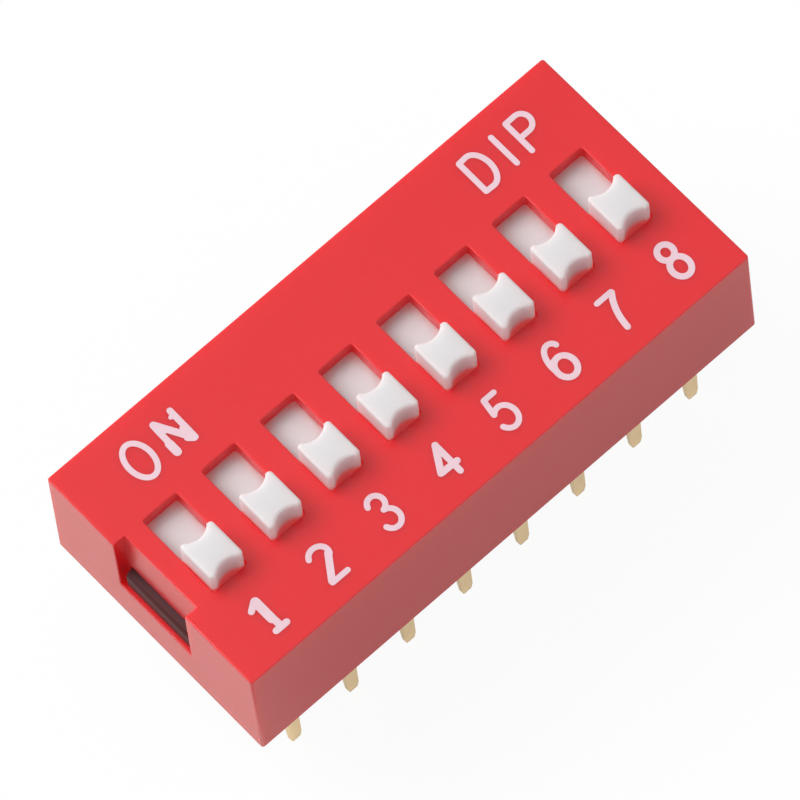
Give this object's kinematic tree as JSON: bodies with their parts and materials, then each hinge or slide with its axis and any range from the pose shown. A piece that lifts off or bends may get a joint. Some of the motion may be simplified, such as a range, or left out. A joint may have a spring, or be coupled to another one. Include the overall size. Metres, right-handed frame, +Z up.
{
  "type": "dip switch",
  "caption": "Slide-type DIP switch: a low red box with a line of raised white sliders in slots on top and rows of flat through-hole legs below.",
  "frame": {"origin": "centre of the terminal grid on the seating plane, which is the underside of the body", "axes": "+X along the row from position 1 to the last position, +Y from the OFF side to the ON side, +Z up out of the top face"},
  "size_m": [0.0218, 0.01, 0.0107],
  "materials": {
    "cover_red": "satin moulded plastic with a fine even grain",
    "base_black": "matt moulded plastic",
    "slider_white": "smooth semi-matt moulded plastic",
    "contact_gold": "gilt spring strip",
    "terminal_gold": "gilt stamped strip, softly polished"
  },
  "bodies": {
    "body": {"housing": "cover_red", "base": "base_black", "terminal_1": "terminal_gold", "terminal_2": "terminal_gold", "terminal_3": "terminal_gold", "terminal_4": "terminal_gold", "terminal_5": "terminal_gold", "terminal_6": "terminal_gold", "terminal_7": "terminal_gold", "terminal_8": "terminal_gold", "terminal_9": "terminal_gold", "terminal_10": "terminal_gold", "terminal_11": "terminal_gold", "terminal_12": "terminal_gold", "terminal_13": "terminal_gold", "terminal_14": "terminal_gold", "terminal_15": "terminal_gold", "terminal_16": "terminal_gold"},
    "slide_1": {"slider_1": "slider_white", "wiper_1": "contact_gold"},
    "slide_2": {"slider_2": "slider_white", "wiper_2": "contact_gold"},
    "slide_3": {"slider_3": "slider_white", "wiper_3": "contact_gold"},
    "slide_4": {"slider_4": "slider_white", "wiper_4": "contact_gold"},
    "slide_5": {"slider_5": "slider_white", "wiper_5": "contact_gold"},
    "slide_6": {"slider_6": "slider_white", "wiper_6": "contact_gold"},
    "slide_7": {"slider_7": "slider_white", "wiper_7": "contact_gold"},
    "slide_8": {"slider_8": "slider_white", "wiper_8": "contact_gold"}
  },
  "joints": [
    {"name": "switch_1", "type": "slide", "parent": "body", "child": "slide_1", "axis": [0, 1, 0], "range_m": [0, 0.00182]},
    {"name": "switch_2", "type": "slide", "parent": "body", "child": "slide_2", "axis": [0, 1, 0], "range_m": [0, 0.00182]},
    {"name": "switch_3", "type": "slide", "parent": "body", "child": "slide_3", "axis": [0, 1, 0], "range_m": [0, 0.00182]},
    {"name": "switch_4", "type": "slide", "parent": "body", "child": "slide_4", "axis": [0, 1, 0], "range_m": [0, 0.00182]},
    {"name": "switch_5", "type": "slide", "parent": "body", "child": "slide_5", "axis": [0, 1, 0], "range_m": [0, 0.00182]},
    {"name": "switch_6", "type": "slide", "parent": "body", "child": "slide_6", "axis": [0, 1, 0], "range_m": [0, 0.00182]},
    {"name": "switch_7", "type": "slide", "parent": "body", "child": "slide_7", "axis": [0, 1, 0], "range_m": [0, 0.00182]},
    {"name": "switch_8", "type": "slide", "parent": "body", "child": "slide_8", "axis": [0, 1, 0], "range_m": [0, 0.00182]}
  ]
}
